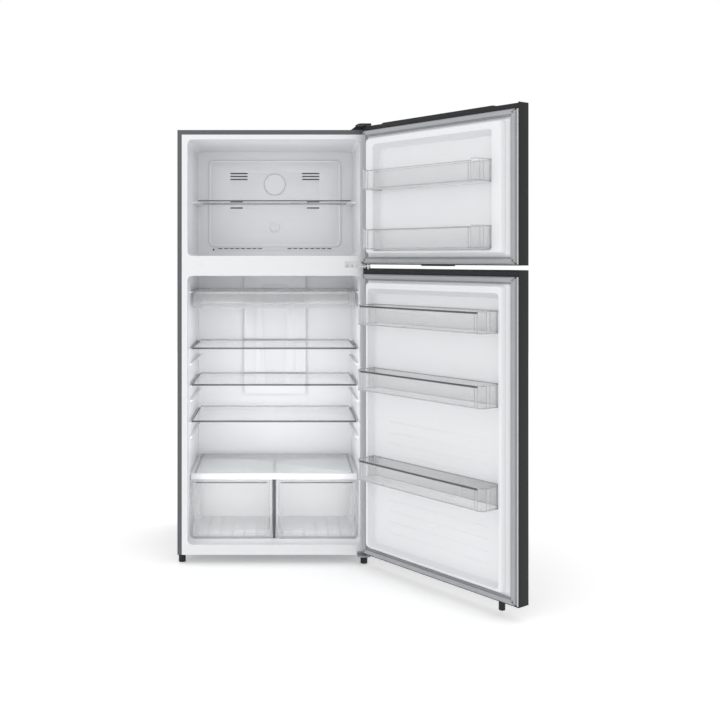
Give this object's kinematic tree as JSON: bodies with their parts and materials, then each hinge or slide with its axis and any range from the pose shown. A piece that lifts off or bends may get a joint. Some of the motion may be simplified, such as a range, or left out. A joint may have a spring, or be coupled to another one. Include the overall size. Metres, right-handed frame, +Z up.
{
  "type": "top freezer refrigerator",
  "caption": "Tall two-door refrigerator with the freezer on top; both doors stand open on the right, with glass shelves, crisper drawers, a chiller tray and clear door bins.",
  "frame": {"origin": "on the floor under the middle of the cabinet's front plane", "axes": "+Z up, +X to the right as the user faces the open front, +Y into the cabinet"},
  "size_m": [1.2842, 1.3035, 1.798],
  "materials": {
    "cabinet_paint": "satin",
    "zinc_steel": "satin",
    "hinge_steel": "satin",
    "foam": "matte",
    "liner_plastic": "satin",
    "trim_plastic": "satin",
    "lens_plastic": "gloss",
    "coil_aluminium": "satin",
    "heater_steel": "satin",
    "motor_plastic": "matte",
    "shelf_glass": "gloss",
    "clear_plastic": "gloss",
    "dark_plastic": "satin",
    "black_plastic": "matte",
    "door_paint": "satin",
    "gasket_rubber": "matte",
    "mount_rubber": "matte",
    "compressor_paint": "satin",
    "copper": "polished",
    "tube_plastic": "satin"
  },
  "bodies": {
    "cabinet": {"cabinet_side_left": "cabinet_paint", "cabinet_side_right": "cabinet_paint", "cabinet_top_panel": "cabinet_paint", "cabinet_back_panel": "zinc_steel", "base_pan": "zinc_steel", "cabinet_foam": "foam", "freezer_liner": "liner_plastic", "fresh_food_liner": "liner_plastic", "front_cover_strips": "trim_plastic", "evaporator_cover": "trim_plastic", "fan_cap": "trim_plastic", "return_air_grille": "trim_plastic", "evaporator_coil": "coil_aluminium", "defrost_heater": "heater_steel", "fan_motor": "motor_plastic", "shelf_ledges": "liner_plastic", "crisper_cover": "shelf_glass", "fresh_air_duct": "trim_plastic", "duct_lamp_lens": "lens_plastic", "top_hinge": "zinc_steel", "middle_hinge": "hinge_steel", "bottom_hinge": "zinc_steel", "top_hinge_cover": "dark_plastic", "screws_and_pins": "zinc_steel", "compressor_mounts": "mount_rubber", "compressor": "compressor_paint", "drain_pan": "dark_plastic", "refrigerant_pipes": "copper", "machine_bay_cover": "zinc_steel", "cord_gland": "black_plastic", "drain_tube": "tube_plastic"},
    "freezer_door": {"freezer_door_skin": "door_paint", "freezer_door_end_caps": "dark_plastic", "freezer_door_foam": "foam", "freezer_door_liner": "liner_plastic", "freezer_door_gasket": "gasket_rubber"},
    "fridge_door": {"fridge_door_skin": "door_paint", "fridge_door_end_caps": "dark_plastic", "fridge_door_foam": "foam", "fridge_door_liner": "liner_plastic", "fridge_door_gasket": "gasket_rubber", "fridge_door_support_foot": "black_plastic"},
    "evaporator_fan": {"evaporator_fan": "motor_plastic"},
    "air_control_knob": {"air_control_knob": "trim_plastic"},
    "freezer_shelf": {"freezer_shelf": "shelf_glass"},
    "shelf_1": {"shelf_1": "shelf_glass"},
    "shelf_2": {"shelf_2": "shelf_glass"},
    "shelf_3": {"shelf_3": "shelf_glass"},
    "crisper_left": {"crisper_drawer_left": "clear_plastic"},
    "crisper_right": {"crisper_drawer_right": "clear_plastic"},
    "chiller_tray": {"chiller_tray": "clear_plastic"},
    "foot_left": {"front_foot_left": "black_plastic"},
    "foot_right": {"front_foot_right": "black_plastic"},
    "roller_left": {"rear_roller_left": "motor_plastic"},
    "roller_right": {"rear_roller_right": "motor_plastic"},
    "freezer_bin_1": {"freezer_bin_1": "clear_plastic"},
    "freezer_bin_2": {"freezer_bin_2": "clear_plastic"},
    "fridge_bin_1": {"fridge_bin_1": "clear_plastic"},
    "fridge_bin_2": {"fridge_bin_2": "clear_plastic"},
    "fridge_bin_3": {"fridge_bin_3": "clear_plastic"}
  },
  "joints": [
    {"name": "freezer_door_hinge", "type": "hinge", "parent": "cabinet", "child": "freezer_door", "pos_m": [0.384, -0.03, 1.5], "axis": [0, 0, 1], "range_deg": [-127.5, 0]},
    {"name": "fridge_door_hinge", "type": "hinge", "parent": "cabinet", "child": "fridge_door", "pos_m": [0.384, -0.03, 0.63], "axis": [0, 0, 1], "range_deg": [-127.5, 0]},
    {"name": "fan_spin", "type": "hinge", "parent": "cabinet", "child": "evaporator_fan", "pos_m": [0, 0.51, 1.589], "axis": [0, 1, 0], "continuous": true},
    {"name": "air_control_turn", "type": "hinge", "parent": "cabinet", "child": "air_control_knob", "pos_m": [0, 0.478, 1.3915], "axis": [0, 1, 0], "range_deg": [-120, 120]},
    {"name": "freezer_shelf_slide", "type": "slide", "parent": "cabinet", "child": "freezer_shelf", "axis": [0, -1, 0], "range_m": [0, 0.25]},
    {"name": "shelf_1_slide", "type": "slide", "parent": "cabinet", "child": "shelf_1", "axis": [0, -1, 0], "range_m": [0, 0.25]},
    {"name": "shelf_2_slide", "type": "slide", "parent": "cabinet", "child": "shelf_2", "axis": [0, -1, 0], "range_m": [0, 0.25]},
    {"name": "shelf_3_slide", "type": "slide", "parent": "cabinet", "child": "shelf_3", "axis": [0, -1, 0], "range_m": [0, 0.25]},
    {"name": "chiller_tray_slide", "type": "slide", "parent": "cabinet", "child": "chiller_tray", "axis": [0, -1, 0], "range_m": [0, 0.21]},
    {"name": "crisper_left_slide", "type": "slide", "parent": "cabinet", "child": "crisper_left", "axis": [0, -1, 0], "range_m": [0, 0.26]},
    {"name": "crisper_right_slide", "type": "slide", "parent": "cabinet", "child": "crisper_right", "axis": [0, -1, 0], "range_m": [0, 0.26]},
    {"name": "freezer_bin_1_lift", "type": "slide", "parent": "freezer_door", "child": "freezer_bin_1", "axis": [0, 0, 1], "range_m": [0, 0.03]},
    {"name": "freezer_bin_2_lift", "type": "slide", "parent": "freezer_door", "child": "freezer_bin_2", "axis": [0, 0, 1], "range_m": [0, 0.03]},
    {"name": "fridge_bin_1_lift", "type": "slide", "parent": "fridge_door", "child": "fridge_bin_1", "axis": [0, 0, 1], "range_m": [0, 0.03]},
    {"name": "fridge_bin_2_lift", "type": "slide", "parent": "fridge_door", "child": "fridge_bin_2", "axis": [0, 0, 1], "range_m": [0, 0.03]},
    {"name": "fridge_bin_3_lift", "type": "slide", "parent": "fridge_door", "child": "fridge_bin_3", "axis": [0, 0, 1], "range_m": [0, 0.03]},
    {"name": "foot_left_turn", "type": "hinge", "parent": "cabinet", "child": "foot_left", "pos_m": [-0.379, 0.04, 0.03], "axis": [0, 0, 1], "continuous": true},
    {"name": "foot_right_turn", "type": "hinge", "parent": "cabinet", "child": "foot_right", "pos_m": [0.37, 0.017, 0.03], "axis": [0, 0, 1], "continuous": true},
    {"name": "roller_left_spin", "type": "hinge", "parent": "cabinet", "child": "roller_left", "pos_m": [-0.34, 0.6, 0.018], "axis": [1, 0, 0], "continuous": true},
    {"name": "roller_right_spin", "type": "hinge", "parent": "cabinet", "child": "roller_right", "pos_m": [0.34, 0.6, 0.018], "axis": [1, 0, 0], "continuous": true}
  ]
}
